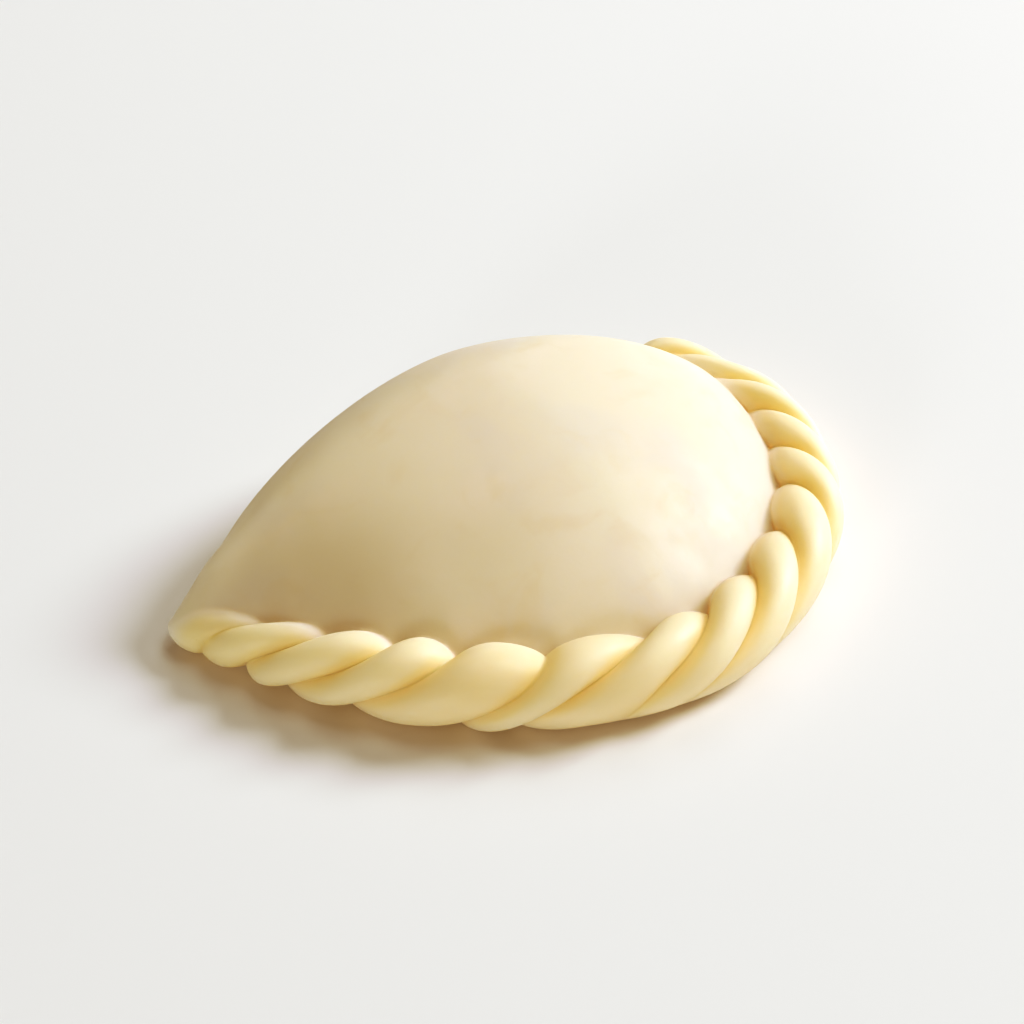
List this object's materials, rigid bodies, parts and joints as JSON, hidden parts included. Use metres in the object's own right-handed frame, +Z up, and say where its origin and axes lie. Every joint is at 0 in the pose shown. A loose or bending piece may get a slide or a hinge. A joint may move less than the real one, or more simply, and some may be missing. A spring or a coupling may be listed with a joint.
{
  "type": "empanada",
  "caption": "Raw half-moon turnover with a smooth filled dome and an uneven hand-twisted rope crimp along its curved edge.",
  "frame": {"origin": "middle of the base, on the surface it rests on", "axes": "+X along the straight fold, towards the end with the longer tucked crimp; -Y towards the crimped edge; +Z up"},
  "size_m": [0.1284, 0.093, 0.0303],
  "materials": {
    "dough": "soft satin, slightly translucent raw wheat dough"
  },
  "bodies": {
    "root": {"empanada": "dough"}
  },
  "joints": []
}
